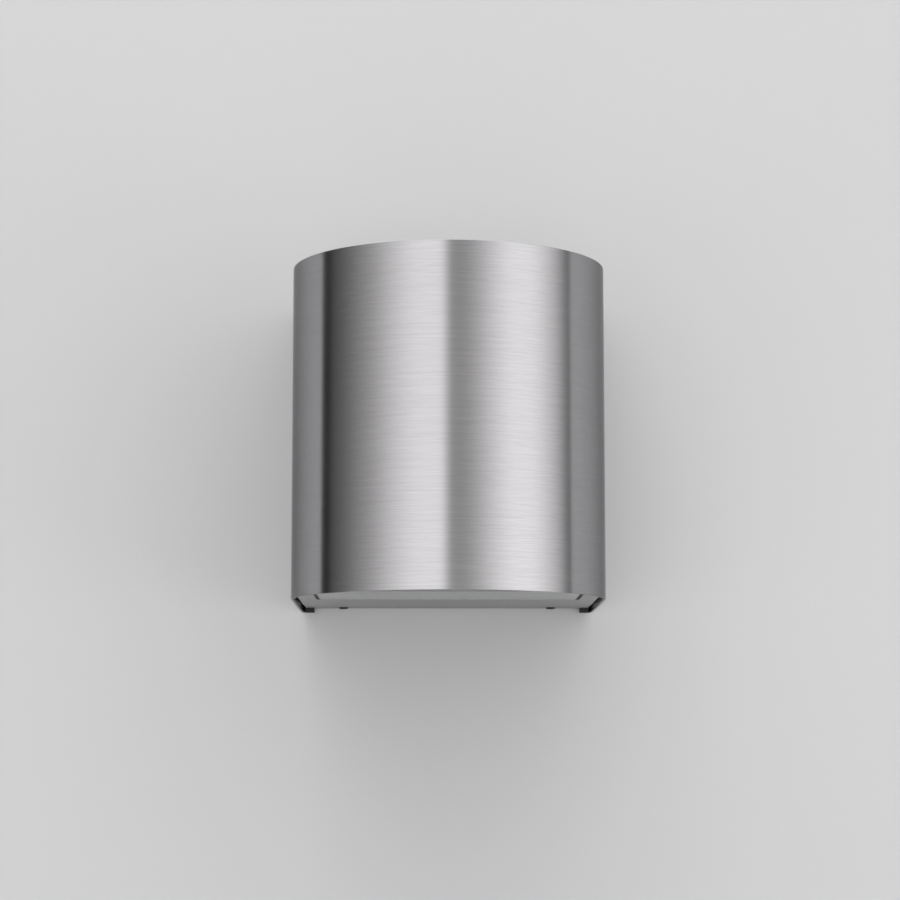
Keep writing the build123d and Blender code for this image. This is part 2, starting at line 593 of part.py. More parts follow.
def lamp_wire(pole_x, holder_x):
    """From the underside of a pole, behind the reflector and forward into the holder."""
    channel = BRACKET_FACE - 3 * WIRE_R
    points = [(pole_x, BARREL_Y, BLOCK_LOW), (pole_x + 1, BARREL_Y, BLOCK_LOW - 17),
              (holder_x - 0.25 * (holder_x - pole_x), channel - 1, LAMP_Z + 24),
              (holder_x, channel, LAMP_Z), (holder_x, HOLDER_BACK - WIRE_DEPTH, LAMP_Z)]
    return wire(points, arc_radii(points), CORE_LONG)


def wire_live():
    return lamp_wire(POLES[1], -WIRE_X)


def wire_neutral():
    return lamp_wire(POLES[2], WIRE_X)


def wire_earth():
    """From the earth pole straight down to the ring terminal."""
    points = [(EARTH_X, BARREL_Y, BLOCK_LOW), (EARTH_X, BARREL_Y, BLOCK_LOW - 7),
              (EARTH_X, TAG_Y, TAG_TOP + 4), (EARTH_X, TAG_Y, TAG_LOW + 2)]
    return wire(points, arc_radii(points), CORE_LONG)


PIECES = (
    front_cover, edge_trims, top_plate, bottom_plate, lens_glass, lens_seal, clip_studs,
    glass_clips, clip_nuts, shade_screws, clamp_nuts, wall_pad, wall_bracket, cable_grommet,
    lampholder_bridge, bridge_screws, reflector, lampholder_body, lampholder_screws,
    lampholder_shell, lampholder_contact, lamp_contact, lamp_insulator, lamp_cap, lamp_body,
    lamp_globe, terminal_block, terminal_barrels, terminal_screws, terminal_block_screws,
    earth_tag, earth_washer, earth_screw, wire_live, wire_neutral, wire_earth,
)

os.makedirs("parts", exist_ok=True)
for make in PIECES:
    made = make()
    shape = Compound(children=made) if isinstance(made, list) else made
    export_step(shape, f"parts/{make.__name__}.step")
    print(make.__name__, "volume", round(shape.volume))
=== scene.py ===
"""Finish of a half-round steel wall light that shines downwards.

Laid out as an add-on: sizes and colours are properties, each piece or group of like pieces
has its operator, and the panel in the 3D view's sidebar lists them in the order of making.
"""
import math
from math import radians

import bpy
from bpy.props import FloatProperty, FloatVectorProperty, IntProperty, PointerProperty
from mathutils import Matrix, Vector


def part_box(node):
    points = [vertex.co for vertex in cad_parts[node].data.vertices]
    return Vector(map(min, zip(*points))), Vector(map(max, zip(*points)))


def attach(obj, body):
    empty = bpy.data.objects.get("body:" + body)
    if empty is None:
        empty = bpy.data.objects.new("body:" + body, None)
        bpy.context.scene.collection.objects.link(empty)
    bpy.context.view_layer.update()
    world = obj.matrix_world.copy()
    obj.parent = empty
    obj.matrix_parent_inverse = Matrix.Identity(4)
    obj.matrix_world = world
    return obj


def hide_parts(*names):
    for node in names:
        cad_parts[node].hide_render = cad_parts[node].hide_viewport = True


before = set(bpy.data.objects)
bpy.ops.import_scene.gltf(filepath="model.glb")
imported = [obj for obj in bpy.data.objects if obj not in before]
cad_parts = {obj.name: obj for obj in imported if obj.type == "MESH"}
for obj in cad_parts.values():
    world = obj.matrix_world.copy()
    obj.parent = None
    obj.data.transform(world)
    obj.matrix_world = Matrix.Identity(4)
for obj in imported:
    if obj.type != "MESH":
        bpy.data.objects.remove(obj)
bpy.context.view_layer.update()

bl_info = {
    "name": "Half-round wall light",
    "version": (1, 0, 0),
    "blender": (4, 5, 0),
    "location": "3D View > Sidebar > Wall light",
    "description": "Builds the finished pieces of a half-round steel wall light",
    "category": "Add Mesh",
}

MM = 0.001
NEAR = 0.01 * MM                             # how near to a plane a point counts as on it
SAME = 0.001 * MM                            # how near two points are taken for one
COVER_LOW, COVER_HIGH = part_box("front_cover")
COVER_R = (COVER_HIGH.x - COVER_LOW.x) / 2   # radius of the round front
ARC_Y = COVER_LOW.y + COVER_R                # its axis
CAP_LOW, CAP_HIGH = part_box("lamp_cap")
LAMP_Z = (CAP_LOW.z + CAP_HIGH.z) / 2        # height of the lamp's axis
BACKWARD, FORWARD, UP = Vector((0, 1, 0)), Vector((0, -1, 0)), Vector((0, 0, 1))
M3_PITCH, M4_PITCH = 0.5 * MM, 0.7 * MM
HEAD_WIDTH, HEAD_HEIGHT = 1.75, 0.6          # a pan head's radius and height, by its screw's
THREAD_FACETS = 10                           # of the lamp's thread, along one pitch


# ---- properties --------------------------------------------------------------------------
def length(name, description, default):
    return FloatProperty(name=name, description=description, default=default, unit="LENGTH")


def colour(name, description, default):
    return FloatVectorProperty(name=name, description=description, default=default,
                               subtype="COLOR", min=0, max=1)


class ShadeSettings(bpy.types.PropertyGroup):
    """Sheet metal and fixings of the shade."""
    sheet: length("Sheet", "Thickness of the cover's sheet", 1.2 * MM)
    fold: length("Wall fold", "Width of the cover's folds along the wall", 6.0 * MM)
    bend: length("Bend", "Outside radius of a fold", 2.0 * MM)
    edge: length("Edge", "Rounding of cut edges", 0.18 * MM)
    trim: length("Trim", "Thickness of the rubber trims", 0.9 * MM)
    stud: length("Stud", "Radius of the clip studs", 1.5 * MM)
    flats: length("Flats", "Width of the hexagon nuts across their flats", 5.5 * MM)
    facets: IntProperty(name="Facets", description="Facets of the full circle of the front",
                        default=288, min=32)
    steel: colour("Steel", "Colour of the brushed steel", (0.403, 0.395, 0.403))
    plate: colour("Plate", "Colour of the end plates", (0.33, 0.33, 0.33))
    rubber: colour("Rubber", "Colour of the seals and trims", (0.030, 0.030, 0.031))


class LampSettings(bpy.types.PropertyGroup):
    """Lamp, lampholder and reflector."""
    pitch: length("Pitch", "Pitch of the screw cap's thread", 3.629 * MM)
    depth: length("Depth", "Depth of the screw cap's thread", 0.8 * MM)
    shell: length("Shell", "Sheet of the lampholder's screw shell", 0.4 * MM)
    globe_wall: length("Globe wall", "Thickness of the opal globe", 1.2 * MM)
    reflector_sheet: length("Reflector sheet", "Thickness of the reflector", 0.8 * MM)
    opal: colour("Opal", "Colour of the globe", (0.90, 0.90, 0.88))


class StudioSettings(bpy.types.PropertyGroup):
    """Camera, floor, backdrop and lights."""
    camera_place: FloatVectorProperty(name="Camera", description="Place of the camera",
                                      subtype="TRANSLATION",
                                      default=(-9.3 * MM, -1358 * MM, -166 * MM))
    camera_pitch: FloatProperty(name="Pitch", description="How far the camera looks up",
                                subtype="ANGLE", default=0.1258)
    camera_yaw: FloatProperty(name="Yaw", description="How far the camera looks to the right",
                              subtype="ANGLE", default=0.0081)
    lens: FloatProperty(name="Lens", description="Focal length in mm on a 36 mm sensor",
                        default=98.27)
    floor_drop: length("Drop", "Floor below the light's middle", 1.50)
    wall_gap: length("Wall gap", "Backdrop behind the light's back face", 0.6 * MM)
    wall_top: length("Wall, top", "Reach of the backdrop upwards", 1.2)
    wall_left: length("Wall, left", "Reach of the backdrop to the left", 0.62)
    wall_right: length("Wall, right", "Reach of the backdrop to the right", 0.98)
    floor: colour("Floor", "Colour of the floor", (0.42, 0.42, 0.42))
    wall: colour("Wall", "Colour of the backdrop", (0.51, 0.51, 0.515))
    ambient: FloatProperty(name="Ambient", description="Light from all round", default=0.13)
    overhead: FloatProperty(name="Overhead", description="Light from above", default=3.2)
    plain: FloatProperty(name="Plain", description="Even grey of the room where it is seen",
                         default=0.55)


def settings():
    scene = bpy.context.scene
    return scene.wall_light_shade, scene.wall_light_lamp, scene.wall_light_studio


# ---- modelling helpers -------------------------------------------------------------------
def clear_selection():
    if bpy.context.object and bpy.context.object.mode != "OBJECT":
        bpy.ops.object.mode_set(mode="OBJECT")
    bpy.ops.object.select_all(action="DESELECT")


def only(piece):
    """Makes the piece the one selected and active object."""
    clear_selection()
    piece.select_set(True)
    bpy.context.view_layer.objects.active = piece


def started(name):
    """The primitive just added, named and with its place in its mesh, in edit mode."""
    piece = bpy.context.object
    piece.name = name
    bpy.ops.object.transform_apply(location=True, rotation=True, scale=True)
    bpy.ops.object.mode_set(mode="EDIT")
    bpy.ops.mesh.select_mode(type="VERT")
    return piece


def pick(piece, test, kind="VERT"):
    """In edit mode, selects the vertices, edges or faces that pass the test, and nothing else."""
    bpy.ops.mesh.select_mode(type=kind)
    bpy.ops.mesh.select_all(action="DESELECT")
    bpy.ops.object.mode_set(mode="OBJECT")
    mesh = piece.data
    items = {"VERT": mesh.vertices, "EDGE": mesh.edges, "FACE": mesh.polygons}[kind]
    for item in items:
        item.select = test(item)
    bpy.ops.object.mode_set(mode="EDIT")


def closed_up():
    """In edit mode: merges doubles, turns all faces outwards and leaves edit mode."""
    bpy.ops.mesh.select_all(action="SELECT")
    bpy.ops.mesh.remove_doubles(threshold=SAME)
    bpy.ops.mesh.normals_make_consistent(inside=False)
    bpy.ops.object.mode_set(mode="OBJECT")


def apply_modifier(piece, kind, **values):
    only(piece)
    modifier = piece.modifiers.new(kind.title(), kind)
    for key, value in values.items():
        setattr(modifier, key, value)
    bpy.ops.object.modifier_apply(modifier=modifier.name)


def smooth(piece, angle=35):
    only(piece)
    bpy.ops.object.shade_smooth_by_angle(angle=radians(angle))


def soften(piece, width, segments=2, angle=40):
    """Rounds the piece's sharp edges and shades the rest smooth."""
    apply_modifier(piece, "BEVEL", width=width, segments=segments, limit_method="ANGLE",
                   angle_limit=radians(angle), miter_outer="MITER_ARC", use_clamp_overlap=True,
                   loop_slide=False)
    smooth(piece)
    apply_modifier(piece, "WEIGHTED_NORMAL", weight=100, keep_sharp=True)


def thickened(piece, thickness, offset):
    """Gives a skin its thickness: offset -1 adds it behind the faces, 1 in front of them."""
    apply_modifier(piece, "SOLIDIFY", thickness=thickness, offset=offset, use_even_offset=True)


def turned(piece, face, way):
    """Turns all faces over if the given one doesn't look the given way."""
    if face.normal.dot(way) < 0:
        piece.data.flip_normals()


def bisected(place, way, **cleared):
    """In edit mode, cuts everything at a plane and clears what lies beyond or before it."""
    bpy.ops.mesh.select_all(action="SELECT")
    bpy.ops.mesh.bisect(plane_co=place, plane_no=way, **cleared)


def cut_away(piece, cutter):
    """Cuts the cutter's shape out of the piece and removes the cutter."""
    apply_modifier(piece, "BOOLEAN", operation="DIFFERENCE", solver="EXACT", object=cutter)
    bpy.data.objects.remove(cutter, do_unlink=True)


def joined(name, pieces):
    """One object of several pieces."""
    clear_selection()
    for piece in pieces:
        piece.select_set(True)
    bpy.context.view_layer.objects.active = pieces[0]
    if len(pieces) > 1:
        bpy.ops.object.join()
    pieces[0].name = name
    return pieces[0]


def copied(piece, offset):
    """A copy with its own mesh, moved by an offset."""
    only(piece)
    bpy.ops.object.duplicate(linked=False)
    bpy.ops.transform.translate(value=offset)
    bpy.ops.object.transform_apply(location=True, rotation=True, scale=True)
    return bpy.context.object


def repeated(name, piece, offsets):
    """One object of a piece and its copies."""
    return joined(name, [piece] + [copied(piece, offset) for offset in offsets])


def traced(name, places):
    """Edges from place to place, extruded from one point and left in edit mode."""
    clear_selection()
    bpy.ops.mesh.primitive_plane_add(size=MM, location=places[0])
    piece = started(name)
    bpy.ops.mesh.select_all(action="SELECT")
    bpy.ops.mesh.merge(type="CENTER")
    for here, there in zip(places, places[1:]):
        bpy.ops.mesh.extrude_region_move(TRANSFORM_OT_translate={"value": there - here})
    return piece


def lathed(name, profile, centre, along, steps=48):
    """A piece turned about an axis; profile holds (distance along the axis, radius) pairs."""
    across = Vector((1, 0, 0))
    piece = traced(name, [centre + along * a + across * r for a, r in profile])
    bpy.ops.mesh.select_all(action="SELECT")
    bpy.ops.mesh.spin(steps=steps, angle=2 * math.pi, center=centre, axis=along)
    closed_up()
    return piece


def arc(centre, radius, start, end, count):
    """Profile points on a part of a circle, angles in degrees from the axis."""
    turns = [radians(start + (end - start) * n / count) for n in range(count + 1)]
    return [(centre[0] + radius * math.cos(t), centre[1] + radius * math.sin(t)) for t in turns]


def rings(start, end, pitch, radius, depth):
    """Profile points of a fine screw thread, drawn as rings."""
    count = int((end - start) / pitch)
    points = []
    for n in range(count):
        points += [(start + n * pitch, radius), (start + (n + 0.5) * pitch, radius - depth)]
    return points


def rod(name, radius, start, end, sides=32):
    """A plain cylinder between two points, used to cut holes and sockets."""
    clear_selection()
    way = end - start
    bpy.ops.mesh.primitive_cylinder_add(vertices=sides, radius=radius, depth=way.length,
                                        location=(start + end) / 2,
                                        rotation=way.to_track_quat("Z", "Y").to_euler())
    piece = started(name)
    bpy.ops.object.mode_set(mode="OBJECT")
    return piece


def bar(name, low, high):
    """A plain block between two corners, used to cut slots."""
    clear_selection()
    bpy.ops.mesh.primitive_cube_add(size=1, location=(low + high) / 2, scale=high - low)
    piece = started(name)
    bpy.ops.object.mode_set(mode="OBJECT")
    return piece


def finish_piece(piece, body, material, *nodes):
    """Gives the piece its finish and its place in the assembly."""
    only(piece)
    bpy.ops.object.transform_apply(location=True, rotation=True, scale=True)
    piece.data.materials.clear()
    piece.data.materials.append(material)
    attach(piece, body)
    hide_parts(*nodes)
    return piece


def taken_over(node, body, material, rounding=0.15 * MM, segments=2):
    """A merged copy of a frame node with rounded edges, which stands in the node's place."""
    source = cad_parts[node]
    piece = bpy.data.objects.new(node + "_finished", source.data.copy())
    bpy.context.scene.collection.objects.link(piece)
    only(piece)
    bpy.ops.object.mode_set(mode="EDIT")
    bpy.ops.mesh.select_all(action="SELECT")
    bpy.ops.mesh.remove_doubles(threshold=SAME)
    bpy.ops.mesh.dissolve_limited(angle_limit=radians(0.5))
    bpy.ops.object.mode_set(mode="OBJECT")
    if rounding:
        soften(piece, rounding, segments, 35)
    else:
        smooth(piece)
    return finish_piece(piece, body, material, node)


# ---- material helpers --------------------------------------------------------------------
class Tree:
    """A short way to write node trees."""

    def __init__(self, name):
        self.material = bpy.data.materials.new(name)
        self.material.use_nodes = True
        self.nodes = self.material.node_tree.nodes
        self.links = self.material.node_tree.links
        self.shader = self.nodes["Principled BSDF"]
        self.place = self.add("ShaderNodeTexCoord").outputs["Object"]

    def add(self, kind, inputs=None, **values):
        node = self.nodes.new(kind)
        for key, value in values.items():
            setattr(node, key, value)
        for key, value in (inputs or {}).items():
            if isinstance(value, bpy.types.NodeSocket):
                self.links.new(value, node.inputs[key])
            else:
                node.inputs[key].default_value = value
        return node

    def noise(self, scale, detail, roughness):
        """Noise in object coordinates; scale is one number, or one for each axis."""
        scale = scale if isinstance(scale, tuple) else (scale, scale, scale)
        place = self.add("ShaderNodeMapping", {"Vector": self.place, "Scale": scale}).outputs[0]
        return self.add("ShaderNodeTexNoise", {"Vector": place, "Scale": 1.0, "Detail": detail,
                                               "Roughness": roughness}).outputs["Fac"]

    def spread(self, value, new_low, new_high, low=0.3, high=0.7):
        """Maps a value's range, by default that of noise, on to a new one, clamped."""
        return self.add("ShaderNodeMapRange", {"Value": value, "From Min": low, "From Max": high,
                                               "To Min": new_low, "To Max": new_high}).outputs[0]

    def between(self, factor, first, second):
        """Mixes two colours by a factor."""
        mix = self.add("ShaderNodeMix", data_type="RGBA")
        self.links.new(factor, mix.inputs["Factor"])
        mix.inputs[6].default_value = (*first, 1)
        mix.inputs[7].default_value = (*second, 1)
        return mix.outputs[2]

    def bump(self, height, strength, distance):
        node = self.add("ShaderNodeBump", {"Height": height, "Strength": strength,
                                           "Distance": distance})
        self.links.new(node.outputs[0], self.shader.inputs["Normal"])

    def set(self, **values):
        for key, value in values.items():
            socket = self.shader.inputs[key.replace("_", " ")]
            if isinstance(value, bpy.types.NodeSocket):
                self.links.new(value, socket)
            else:
                socket.default_value = (*value, 1) if isinstance(value, tuple) else value


def shaded(colour, factor):
    """The colour made darker or lighter."""
    return tuple(min(1.0, c * factor) for c in colour)


MATERIALS = {}


def made_once(make):
    """Keeps one material for each finish."""
    def get():
        if make.__name__ not in MATERIALS:
            MATERIALS[make.__name__] = make()
        return MATERIALS[make.__name__]
    return get


def mottled(name, noise, first, second, rough, bump=(), **values):
    """A finish that one noise mixes from two colours and two roughnesses."""
    tree = Tree(name)
    cloud = tree.noise(*noise)
    tree.set(Base_Color=tree.between(cloud, first, second),
             Roughness=tree.spread(cloud, *rough), **values)
    if bump:
        tree.bump(cloud, *bump)
    return tree.material


@made_once
def brushed_steel():
    """Stainless sheet brushed along the horizontal: fine streaks that follow the roll."""
    tree = Tree("brushed_steel")
    steel = tuple(settings()[0].steel)
    fine = tree.noise((110, 110, 5200), 3, 0.6)
    coarse = tree.noise((40, 40, 1500), 3, 0.6)
    cloud = tree.noise((9, 9, 14), 3, 0.5)
    grain = tree.add("ShaderNodeMath", {0: fine, 1: coarse}, operation="ADD").outputs[0]
    streaks = tree.spread(grain, 0.0, 1.0, 0.62, 1.38)
    tree.set(Base_Color=tree.between(streaks, shaded(steel, 0.91), shaded(steel, 1.08)),
             Metallic=1.0, Anisotropic=0.9, Specular_Tint=(0.45, 0.45, 0.45),
             Roughness=tree.spread(cloud, 0.21, 0.23))
    tangent = tree.add("ShaderNodeTangent", direction_type="RADIAL", axis="Z")
    tree.links.new(tangent.outputs[0], tree.shader.inputs["Tangent"])
    tree.shader.inputs["Anisotropic Rotation"].default_value = 0.25
    tree.bump(streaks, 0.05, 0.00001)
    return tree.material


@made_once
def plate_steel():
    """Dull mill-finish stainless of the end plates."""
    tree = Tree("plate_steel")
    steel = tuple(settings()[0].plate)
    cloud = tree.noise(30, 5, 0.6)
    grain = tree.noise((60, 1500, 60), 3, 0.6)
    tree.set(Base_Color=tree.between(grain, shaded(steel, 0.93), shaded(steel, 1.07)),
             Metallic=1.0, Roughness=tree.spread(cloud, 0.40, 0.44))
    tree.bump(grain, 0.08, 0.00003)
    return tree.material


@made_once
def window_glass():
    """Clear toughened pane with the faint green of float glass."""
    tree = Tree("window_glass")
    ripple = tree.noise(12, 2, 0.4)
    tree.set(Base_Color=(0.93, 0.985, 0.965), Transmission_Weight=1.0, IOR=1.52, Roughness=0.015)
    tree.bump(ripple, 0.02, 0.0002)
    return tree.material


@made_once
def black_rubber():
    """Black rubber with a fine matt skin and a little dust."""
    tree = Tree("black_rubber")
    rubber = tuple(settings()[0].rubber)
    speck = tree.noise(900, 3, 0.6)
    dust = tree.noise(40, 5, 0.7)
    tree.set(Base_Color=tree.between(tree.spread(dust, 0.0, 1.0, 0.45, 0.8), rubber,
                                     shaded(rubber, 2.0)),
             Roughness=tree.spread(speck, 0.62, 0.80), Specular_IOR_Level=0.18)
    tree.bump(speck, 0.25, 0.00005)
    return tree.material


@made_once
def black_steel():
    """Blackened screws, rubbed brighter in places."""
    return mottled("black_steel", (1500, 4, 0.65), (0.008, 0.008, 0.009), (0.035, 0.034, 0.032),
                   (0.35, 0.5), Metallic=0.6)


@made_once
def zinc_steel():
    """Bright zinc plate with a faint blue-yellow bloom."""
    tree = Tree("zinc_steel")
    bloom = tree.noise(45, 4, 0.6)
    spangle = tree.noise(420, 2, 0.5)
    tree.set(Base_Color=tree.between(bloom, (0.46, 0.48, 0.51), (0.56, 0.555, 0.515)),
             Metallic=1.0, Roughness=tree.spread(spangle, 0.38, 0.48))
    tree.bump(spangle, 0.03, 0.00002)
    return tree.material


@made_once
def bright_aluminium():
    """Rolled and anodised reflector sheet, with its rolling lines from front to back."""
    return mottled("bright_aluminium", ((300, 3, 300), 2, 0.4), (0.66, 0.67, 0.68),
                   (0.71, 0.71, 0.71), (0.225, 0.255), (0.02, 0.00001), Metallic=1.0)


@made_once
def porcelain():
    """Glazed porcelain, slightly cream, cloudy under its glaze."""
    tree = Tree("porcelain")
    body = tree.noise(120, 4, 0.6)
    tree.set(Base_Color=tree.between(body, (0.72, 0.70, 0.64), (0.82, 0.81, 0.76)),
             Roughness=0.18, Coat_Weight=0.6, Coat_Roughness=0.06, Subsurface_Weight=0.05)
    tree.shader.inputs["Subsurface Radius"].default_value = (0.002, 0.0015, 0.001)
    tree.bump(body, 0.04, 0.0001)
    return tree.material


@made_once
def brass():
    """Brass with a light tarnish."""
    return mottled("brass", (260, 5, 0.6), (0.60, 0.41, 0.15), (0.80, 0.60, 0.28),
                   (0.2, 0.34), Metallic=1.0)


@made_once
def nickel():
    """Nickel plate, rubbed a little."""
    return mottled("nickel", (300, 4, 0.6), (0.56, 0.54, 0.49), (0.70, 0.68, 0.63),
                   (0.16, 0.28), Metallic=1.0)


@made_once
def white_plastic():
    """Moulded white housing of the lamp, finely sparked."""
    return mottled("white_plastic", (1100, 3, 0.5), (0.76, 0.76, 0.75), (0.82, 0.82, 0.81),
                   (0.42, 0.5), (0.08, 0.00004))


@made_once
def black_insulator():
    """Black glass between the lamp's contacts."""
    tree = Tree("black_insulator")
    swirl = tree.noise(200, 3, 0.5)
    tree.set(Base_Color=tree.between(swirl, (0.008, 0.008, 0.012), (0.02, 0.02, 0.03)),
             Roughness=0.12)
    return tree.material


@made_once
def opal_globe():
    """Opal diffuser of the lamp, switched off."""
    tree = Tree("opal_globe")
    opal = tuple(settings()[1].opal)
    haze = tree.noise(60, 3, 0.5)
    tree.set(Base_Color=tree.between(haze, shaded(opal, 0.97), shaded(opal, 1.03)),
             Roughness=tree.spread(haze, 0.30, 0.36), Subsurface_Weight=0.25)
    tree.shader.inputs["Subsurface Radius"].default_value = (0.004, 0.004, 0.003)
    return tree.material


@made_once
def grey_plastic():
    """Natural polyamide of the terminal block, a little milky."""
    tree = Tree("grey_plastic")
    cloud = tree.noise(180, 3, 0.5)
    tree.set(Base_Color=tree.between(cloud, (0.66, 0.64, 0.57), (0.76, 0.74, 0.68)),
             Roughness=0.38, Subsurface_Weight=0.15)
    tree.shader.inputs["Subsurface Radius"].default_value = (0.002, 0.002, 0.0015)
    return tree.material


def wire_cover(name, first, second, banded=False):
    """Silicone insulation; the earth wire has two colours along it."""
    tree = Tree(name)
    haze = tree.noise(700, 3, 0.5)
    factor = haze
    if banded:
        middle = (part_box("wire_earth")[0].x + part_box("wire_earth")[1].x) / 2
        parts = tree.add("ShaderNodeSeparateXYZ", {"Vector": tree.place})
        factor = tree.add("ShaderNodeMath", {0: parts.outputs["X"], 1: middle},
                          operation="GREATER_THAN").outputs[0]
    tree.set(Base_Color=tree.between(factor, first, second), Roughness=0.45)
    tree.bump(haze, 0.1, 0.00003)
    return tree.material


@made_once
def wire_brown():
    return wire_cover("wire_brown", (0.09, 0.035, 0.015), (0.13, 0.05, 0.02))


@made_once
def wire_blue():
    return wire_cover("wire_blue", (0.01, 0.06, 0.32), (0.015, 0.09, 0.42))


@made_once
def wire_green_yellow():
    return wire_cover("wire_green_yellow", (0.03, 0.22, 0.04), (0.75, 0.60, 0.02), banded=True)


# ---- shapes that several pieces share ----------------------------------------------------
def pan_screw(name, seat, into, radius, long, pitch):
    """Pan-head screw with a hexagon socket; seat is the middle of the head's underside."""
    head_r, head_h = HEAD_WIDTH * radius, HEAD_HEIGHT * radius
    crown = [(-head_h * (0.25 + 0.75 * math.cos(t)), head_r * (0.55 + 0.45 * math.sin(t)))
             for t in (radians(15 * n) for n in range(7))]
    shank = rings(0.1 * radius, long - 0.3 * radius, pitch, radius, 0.28 * pitch)
    profile = [(-head_h, 0)] + crown + [(0, head_r), (0, radius)] + shank
    profile += [(long - 0.25 * radius, radius * 0.95), (long, 0.7 * radius), (long, 0)]
    screw = lathed(name, profile, seat, into, 40)
    top, floor = seat - into * (head_h + MM), seat - into * 0.35 * head_h
    cut_away(screw, rod("socket", 0.62 * radius, top, floor, 6))
    smooth(screw, 30)
    return screw


def hex_nut(name, seat, radius, flats, high):
    """A nut on Z with chamfered corners and a threaded bore."""
    clear_selection()
    bpy.ops.mesh.primitive_cylinder_add(vertices=6, radius=flats / math.sqrt(3), depth=high,
                                        location=seat + UP * high / 2,
                                        rotation=(0, 0, radians(30)))
    nut = started(name)
    pick(nut, lambda f: abs(f.normal.z) > 0.9, "FACE")
    bpy.ops.mesh.inset(thickness=0.10 * flats)
    bpy.ops.object.mode_set(mode="OBJECT")
    inner = rings(-MM, high + MM, high / 4, radius + 0.05 * MM, -0.1 * MM)
    cutter = lathed("bore", [(-MM, 0)] + inner + [(high + MM, 0)], seat, UP, 24)
    cut_away(nut, cutter)
    soften(nut, 0.06 * flats / 2, 2, 45)
    return nut


def screw_row(node, body, material, pitch, into=BACKWARD, ending="_pan_head"):
    """A node's screw or pair of screws, from its box; gives the first seat, gap and radius."""
    low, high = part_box(node)
    head_r = (high.z - low.z if into.y else high.y - low.y) / 2
    radius = head_r / HEAD_WIDTH
    seat = low + Vector((head_r, head_r, head_r)) + into * (HEAD_HEIGHT * radius - head_r)
    gap = Vector((high.x - low.x - 2 * head_r, 0, 0))
    screw = pan_screw("screw", seat, into, radius, (high - seat).dot(into), pitch)
    screws = repeated(node + ending, screw, [gap] if gap.x > radius else [])
    finish_piece(screws, body, material, node)
    return seat, gap, radius


# ---- the pieces --------------------------------------------------------------------------
class WALLLIGHT_OT_front_cover(bpy.types.Operator):
    """Rolled cover: half a tube, straight sides and folds along the wall"""
    bl_idname = "wall_light.front_cover"
    bl_label = "Front cover"

    def execute(self, context):
        shade = settings()[0]
        height = COVER_HIGH.z - COVER_LOW.z
        clear_selection()
        bpy.ops.mesh.primitive_cylinder_add(vertices=shade.facets, radius=COVER_R, depth=height,
                                            end_fill_type="NOTHING", location=(0, ARC_Y, 0))
        cover = started("cover_rolled")
        bisected((0, ARC_Y, 0), BACKWARD, clear_outer=True)
        pick(cover, lambda v: abs(v.co.y - ARC_Y) < NEAR)
        bpy.ops.mesh.extrude_region_move(
            TRANSFORM_OT_translate={"value": (0, COVER_HIGH.y - ARC_Y, 0)})
        bpy.ops.mesh.extrude_region_move()
        inner = (COVER_R - shade.fold) / COVER_R
        bpy.ops.transform.resize(value=(inner, 1, 1), center_override=(0, 0, 0))
        side, back = COVER_R - NEAR, COVER_HIGH.y - NEAR
        pick(cover, lambda e: all(abs(cover.data.vertices[i].co.x) > side
                                  and cover.data.vertices[i].co.y > back
                                  for i in e.vertices), "EDGE")
        bpy.ops.mesh.bevel(offset=shade.bend, segments=8, affect="EDGES")
        closed_up()
        turned(cover, min(cover.data.polygons, key=lambda f: f.center.y), FORWARD)
        thickened(cover, shade.sheet, -1)
        soften(cover, shade.edge, 2, 50)
        finish_piece(cover, "shade", brushed_steel(), "front_cover")
        return {"FINISHED"}


class WALLLIGHT_OT_edge_trims(bpy.types.Operator):
    """Rubber channels on the cover's folds"""
    bl_idname = "wall_light.edge_trims"
    bl_label = "Edge trims"

    def execute(self, context):
        low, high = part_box("edge_trims")
        trims = [self.channel(side, low, high) for side in (-1, 1)]
        finish_piece(joined("trims_rubber", trims), "shade", black_rubber(), "edge_trims")
        return {"FINISHED"}

    def channel(self, side, low, high):
        """A strip bent round one fold, with the thickness of the rubber added outside."""
        shade = settings()[0]
        outer, inner = side * high.x, side * (COVER_R - shade.fold)
        front, back = low.y + shade.trim, high.y - shade.trim
        path = ((outer, front), (inner, front), (inner, back), (outer, back))
        strip = traced("trim", [Vector((x, y, low.z)) for x, y in path])
        bpy.ops.mesh.select_all(action="SELECT")
        bpy.ops.mesh.extrude_region_move(
            TRANSFORM_OT_translate={"value": (0, 0, high.z - low.z)})
        closed_up()
        turned(strip, next(f for f in strip.data.polygons if abs(f.normal.x) > 0.9),
               Vector((-side, 0, 0)))
        thickened(strip, shade.trim, 1)
        soften(strip, 0.25 * MM, 3, 50)
        return strip


class WALLLIGHT_OT_end_plates(bpy.types.Operator):
    """Top and bottom plates with their folded tabs"""
    bl_idname = "wall_light.end_plates"
    bl_label = "End plates"

    def execute(self, context):
        for node in ("top_plate", "bottom_plate"):
            taken_over(node, "shade", plate_steel())
        return {"FINISHED"}


